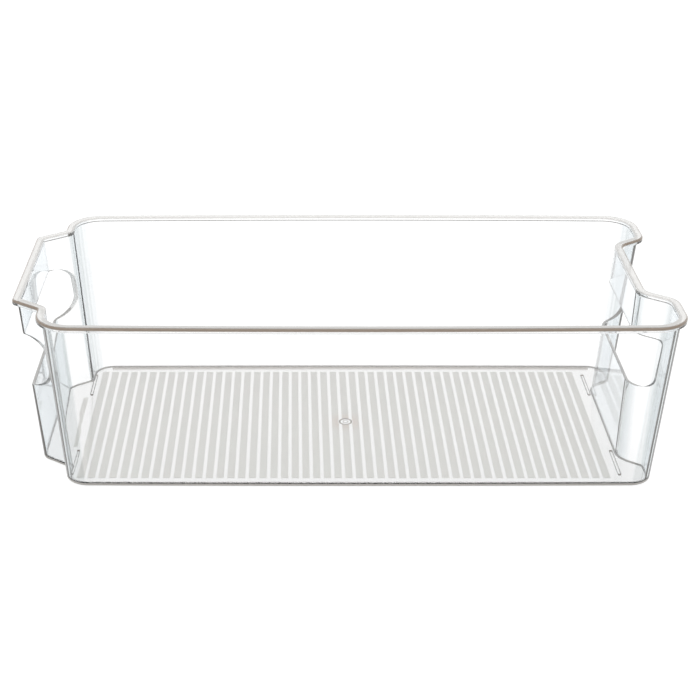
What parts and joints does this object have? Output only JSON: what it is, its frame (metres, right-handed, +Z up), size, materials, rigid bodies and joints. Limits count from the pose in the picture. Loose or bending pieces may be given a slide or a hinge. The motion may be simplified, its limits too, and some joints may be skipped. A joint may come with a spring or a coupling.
{
  "type": "fridge storage bin",
  "caption": "Clear open-topped storage bin with a jutting grip at one end, a recessed grip at the other and a hand hole through each.",
  "frame": {"origin": "on the shelf, under the middle of the bounding box", "axes": "X runs along the bin: the grip juts out at -X and the recess is at +X. Y runs across it, the front wall at -Y. Z is up."},
  "size_m": [0.3698, 0.1826, 0.102],
  "materials": {
    "clear_plastic": "water-clear injection-moulded plastic, polished",
    "frosted_plastic": "the same clear plastic with a finely textured surface"
  },
  "bodies": {
    "root": {"floor_plate": "clear_plastic", "front_wall": "clear_plastic", "back_wall": "clear_plastic", "corner_front_left": "clear_plastic", "corner_front_right": "clear_plastic", "corner_back_left": "clear_plastic", "corner_back_right": "clear_plastic", "grip_lower_panel": "clear_plastic", "grip_apron": "clear_plastic", "grip_cheek_front": "clear_plastic", "grip_cheek_back": "clear_plastic", "recess_lower_panel": "clear_plastic", "recess_apron": "clear_plastic", "recess_cheek_front": "clear_plastic", "recess_cheek_back": "clear_plastic", "rim_front": "clear_plastic", "rim_back": "clear_plastic", "rim_corner_front_left": "clear_plastic", "rim_corner_front_right": "clear_plastic", "rim_corner_back_left": "clear_plastic", "rim_corner_back_right": "clear_plastic", "rim_grip": "clear_plastic", "rim_recess": "clear_plastic", "feet": "clear_plastic", "gate_mark": "clear_plastic", "frosted_bars": "frosted_plastic"}
  },
  "joints": []
}
